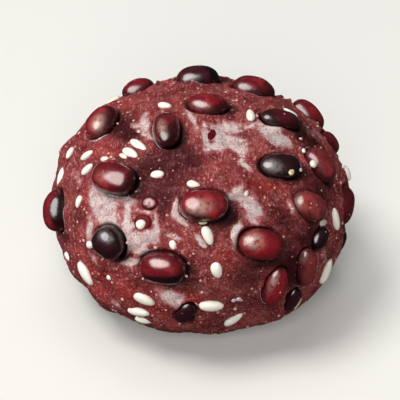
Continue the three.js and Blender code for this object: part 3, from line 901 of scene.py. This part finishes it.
def gridFaces(rings, around, closed):  # squares between rings of points, where the last ring may meet the first
    i, j = np.meshgrid(np.arange(rings if closed else rings - 1), np.arange(around), indexing="ij")
    a, b = (i + 1) % rings, (j + 1) % around
    return np.stack([i * around + j, a * around + j, a * around + b, i * around + b], -1).reshape(-1, 4)


def tube(path, out, radius):  # a round thread along a path, as thick as sin^0.7 from one closed end to the other
    count, around = len(path), wetRimLook["around"]
    along = unit(np.gradient(path, axis=0))
    side = unit(np.cross(along, out))
    thin = np.sin(np.linspace(0.02, math.pi - 0.02, count)) ** 0.7 * radius
    ring = turned(side[:, None], out[:, None], np.arange(0, 360, 360 / around)[:, None])
    points = path[:, None] + ring * thin[:, None, None]
    return points.reshape(-1, 3), gridFaces(count, around, False)[:, [0, 3, 2, 1]]


def lipHighlightMaterial():
    material, shader = newMaterial("wet lip with painted highlight")
    setSockets(material, shader, {
        # pale lilac: a painted highlight along the wet lip
        "Base Color": mixNode(material, blotch(material, 0.7, 0.35, 0.65), (0.44, 0.34, 0.37), (0.24, 0.12, 0.14)),
        "Roughness": 0.25,
        "Coat Weight": 0.6,
        "Coat Roughness": 0.12,
    })
    return material


def makeWetRims():
    points, faces, start = [], [], 0
    for name, first, last, apart, thick in wetRims:
        some, squares = tube(*rimPath(name, first, last, apart), thick / 2)
        points.append(some)
        faces.append(squares + start)
        start += len(some)
    makePastePiece("wet_lips", np.concatenate(points), np.concatenate(faces), lipHighlightMaterial())


makeWetRims()
print("wet lips made")

# bits of hull and starch, some of them on beans: bearing, lift, turn, long, wide, tone (0 straw, 1 lilac)
bits = [
    (49.5, 38.9, 25, 1.8, 1.1, 0.0), (55, 37.5, 60, 1.0, 0.7, 0.9), (1, 29, 0, 1.7, 0.8, 0.1),
    (12.5, -4, 10, 1.0, 0.9, 0.9), (14.5, -4, 0, 1.1, 1.0, 1.0), (39, -13, 75, 3.2, 1.0, 0.3),
    (56, 14, -20, 2.3, 1.4, 0.6), (-73, 58, 0, 0.9, 0.8, 0.5), (24, 38, 60, 1.4, 0.8, 0.5),
    (-5, 8, -40, 1.2, 0.5, 0.4),
]
bitLook = {"thickness": 0.5, "proud": 0.55, "rows": 3, "seed": 79, "taper": (0, 0.2), "bend": 0.1}
# pale flecks on the beans' skins: crumbs that also stand for painted glints
flecks = {"count": 64, "size": (0.12, 0.30), "stretch": 1.2, "spread": 1.5, "tone": 0.6, "seed": 21}


def bitMaterial():
    material, shader = newMaterial("bit of hull")
    setSockets(material, shader, {
        "Base Color": layered(material, (0.60, 0.50, 0.27), [
            (markNode(material, "tone"), (0.55, 0.50, 0.56)),
            (blotch(material, 0.6, 0.45, 0.7, 0.5), (0.38, 0.28, 0.22)),
        ]),
        "Roughness": 0.32,
        "Coat Weight": 0.4,
        "Coat Roughness": 0.15,
    })
    return material


def placeOf(way):  # bearing and lift in degrees of unit directions
    return np.degrees(np.arctan2(way[:, 0], -way[:, 1])), np.degrees(np.arcsin(way[:, 2]))


def makeBits():
    draw = np.random.default_rng(flecks["seed"])
    tops = np.array([bean["middle"] + bean["axes"][2] * bean["half"][2] for bean in beans])
    tops = tops[draw.integers(0, len(beans), flecks["count"])]
    bearing, lift = placeOf(unit(tops + draw.normal(0, flecks["spread"], tops.shape)))
    size = draw.uniform(*flecks["size"], flecks["count"])
    turn, tone = draw.uniform(-90, 90, len(size)), np.full(len(size), flecks["tone"])
    rows = np.stack([bearing, lift, turn, flecks["stretch"] * size, size, tone], -1)
    rows = np.concatenate([np.array(bits, float), rows])
    points, faces, marks = pebbles(bitLook, *layOnPaste(bitLook, rows[:, :5], beanSeat))
    marks["tone"] = np.repeat(rows[:, 5], len(points) // len(rows))
    makePastePiece("bits", points, faces, bitMaterial(), marks)


makeBits()
print("bits laid")

# scraps of red skin: a round scrap under a kernel, a bulging one beside it, and flakes
skinRing = {
    "place": (-25, 26), "radius": 0.95, "thick": 1.34, "flat": 0.36, "proud": 0.22, "steps": 40, "around": 10,
}
# bearing, lift, turn, long, wide, and the first is the bulging one
skinScraps = [(-25, 33.5, 10, 3.3, 2.6), (18, 72, 59, 3.1, 1.5), (-110, 45, 30, 1.2, 0.8), (75, 2, 30, 1.4, 0.8)]
scrapLook = {
    "thickness": 0.45,
    "proud": 0.7,
    "rows": 8,
    "seed": 80,
    "taper": (0, 0.15),
    "bend": 0.15,
    "tone": 0.45,
    "pale": (0.95, 0.66, 0.92),  # painted highlight on the bulging one's top: strength, and heights between which it comes in
    # painted shade on the bulging one's sides: strength, and heights between which it comes in
    "shadedSides": (0.8, 0.62, 0.30),
}


def ringScrap():  # an oval thread round a slightly wavy circle
    out, east, up = axesAt(*skinRing["place"])
    way = wayOf(*skinRing["place"])
    middle = way * pasteSeat(way[None]) + out * skinRing["proud"]
    steps, around = skinRing["steps"], skinRing["around"]
    turn, bend = np.meshgrid(
        np.arange(steps) * 2 * np.pi / steps, np.arange(around) * 2 * np.pi / around, indexing="ij")
    wave = 1 + 0.06 * np.sin(2 * turn + 1) + 0.04 * np.sin(3 * turn)
    thick = skinRing["thick"] / 2
    reach = (skinRing["radius"] * wave + thick * np.cos(bend))[..., None]
    heading = east * np.cos(turn)[..., None] + up * np.sin(turn)[..., None]
    points = middle + heading * reach + out * (thick * skinRing["flat"] * np.sin(bend))[..., None]
    return points.reshape(-1, 3), gridFaces(steps, around, True)


def makeScraps():
    ring, ringFaces = ringScrap()
    middles, half, axes = layOnPaste(scrapLook, skinScraps)
    scraps, faces, _ = pebbles(scrapLook, middles, half, axes)
    points = np.concatenate([ring, scraps])
    bulge = slice(len(ring), len(ring) + len(scraps) // len(skinScraps))
    height = (points[bulge] - middles[0]) @ axes[0][2] / half[0][2]
    marks = {"tone": np.full(len(points), scrapLook["tone"])}
    # painted highlight on the bulging scrap's top and painted shade on its sides
    for mark, (strength, low, high) in {"film": scrapLook["pale"], "flank": scrapLook["shadedSides"]}.items():
        marks[mark] = np.zeros(len(points))
        marks[mark][bulge] = strength * smoothStep(low, high, height)
    makePastePiece("skin_scraps", points, np.concatenate([ringFaces, faces + len(ring)]), skins["scrap"], marks)


makeScraps()
print("skin scraps laid")

# pale specks on the paste: crumbs that also stand for painted glints
specks = {
    "count": 1000,
    "size": (0.16, 0.72),
    "thickness": 0.7,
    "proud": 0.55,
    "clear": 1.06,  # stay outside the beans
    "lowest": -42,
    "highest": 88,
    "stretch": 1.15,
    "rows": 2,
    "taper": (0, 0),
    "bend": 0,
    "placeSeed": 5,
    "seed": 78,
}


def speckMaterial():
    material, shader = newMaterial("pale speck")
    setSockets(material, shader, {
        "Base Color": mixNode(material, markNode(material, "tone"), (0.36, 0.12, 0.11), (0.68, 0.42, 0.37)),
        "Roughness": 0.35,
        "Coat Weight": 0.3,
        "Coat Roughness": 0.2,
    })
    return material


def makeSpecks():
    draw = np.random.default_rng(specks["placeSeed"])
    way = unit(draw.normal(size=(specks["count"] * 2, 3)))
    bearing, lift = placeOf(way)
    free = pasteForm(way)[2]["near"] > specks["clear"]
    keep = np.nonzero(free & (lift > specks["lowest"]) & (np.abs(lift) < specks["highest"]))[0][: specks["count"]]
    size = between(specks["size"], draw.uniform(0, 1, len(keep)) ** 3)
    turn = draw.uniform(-90, 90, len(keep))
    rows = np.stack([bearing[keep], lift[keep], turn, size * specks["stretch"], size], axis=-1)
    points, faces, marks = pebbles(specks, *layOnPaste(specks, rows))
    makePastePiece("specks", points, faces, speckMaterial(), marks)


makeSpecks()
print("specks made")


stageLook = {
    "floorSize": 2400,
    "floorColour": (0.80, 0.79, 0.76),
    "skyColour": (0.93, 0.95, 1.0),
    "skyStrength": (0.03, 0.05),  # near the ground and overhead
    "skyFade": (-0.3, 0.6),  # heights between which one turns into the other
    "lampColour": (1.0, 0.99, 0.97),
}
view = {
    "distance": 300,
    "lens": 135,
    "sensor": 36,
    "frameShift": (-0.5 / 400, 4.0 / 400),
}

# name, azimuth, elevation, distance, size, light that reaches the middle, what it lights
lamps = [
    ("key", -72, 40, 1200, 380, 2.9, "matt"),
    ("crown light", -90, 78, 1200, 700, 1.3, "matt"),
    ("front fill", 8, 14, 1200, 900, 1.9, "matt"),
    ("right fill", 78, 14, 1200, 800, 0.5, "matt"),
    ("back fill", 172, 28, 1200, 900, 0.7, "matt"),
    ("window", -50, 47, 1200, 1400, 5.0, "gloss"),
    ("table light", -78, 64, 1200, 560, 1.75, "table"),
    ("table soft light", -150, 80, 700, 600, 0.85, "table"),
    ("table front light", -4, 34, 2400, 1600, 2.15, "table"),
]


def softLight(name, azimuth, elevation, distance, size, light, use, table):  # a round lamp facing the sweet
    radius, distance = size / 2 * mm, distance * mm
    data = bpy.data.lights.new(name, "AREA")
    data.shape = "DISK"
    data.size = 2 * radius
    data.energy = light * math.pi * (distance**2 + radius**2)
    data.color = stageLook["lampColour"]
    lamp = bpy.data.objects.new(name, data)
    lamp.location = wayOf(azimuth, elevation) * distance + [0, 0, beltHeight * mm]
    lamp.rotation_euler = (math.radians(90 - elevation), 0, math.radians(azimuth))
    lamp.visible_glossy = use == "gloss"
    lamp.visible_diffuse = use != "gloss"
    receivers = bpy.data.collections.new(name + " receivers")
    receivers.objects.link(table)
    lamp.light_linking.receiver_collection = receivers
    receivers.collection_objects[0].light_linking.link_state = "INCLUDE" if use == "table" else "EXCLUDE"
    bpy.context.scene.collection.objects.link(lamp)


def makeStage():
    half = stageLook["floorSize"] / 2 * mm
    mesh = bpy.data.meshes.new("table")
    mesh.from_pydata([(-half, -half, 0), (half, -half, 0), (half, half, 0), (-half, half, 0)], [], [(0, 1, 2, 3)])
    material, shader = newMaterial("pale table")
    setSockets(material, shader, {
        "Base Color": stageLook["floorColour"],
        "Roughness": 0.9,
        "Specular IOR Level": 0.1,
    })
    mesh.materials.append(material)
    table = bpy.data.objects.new("table", mesh)
    bpy.context.scene.collection.objects.link(table)
    table.visible_diffuse = False
    table.visible_glossy = False
    world = bpy.data.worlds.new("soft room")
    world.use_nodes = True
    height = addNode(world, "SeparateXYZ", {0: addNode(world, "TexCoord", {}, "Generated")}, "Z")
    setSockets(world, world.node_tree.nodes["Background"], {
        "Color": stageLook["skyColour"],
        "Strength": rangeNode(world, height, *stageLook["skyFade"], *stageLook["skyStrength"], "LINEAR"),
    })
    bpy.context.scene.world = world
    for row in lamps:
        softLight(*row, table)


def makeCamera():
    camera = bpy.data.cameras.new("camera")
    camera.lens = view["lens"]
    camera.sensor_width = view["sensor"]
    camera.shift_x, camera.shift_y = view["frameShift"]
    holder = bpy.data.objects.new("camera", camera)
    holder.location = (frontWay * view["distance"] + [0, 0, beltHeight]) * mm
    holder.rotation_euler = (math.radians(90 - frontLift), 0, 0)
    bpy.context.scene.collection.objects.link(holder)
    bpy.context.scene.camera = holder


makeStage()
makeCamera()
bpy.context.scene.view_settings.view_transform = "Standard"
print("table, light and camera set")
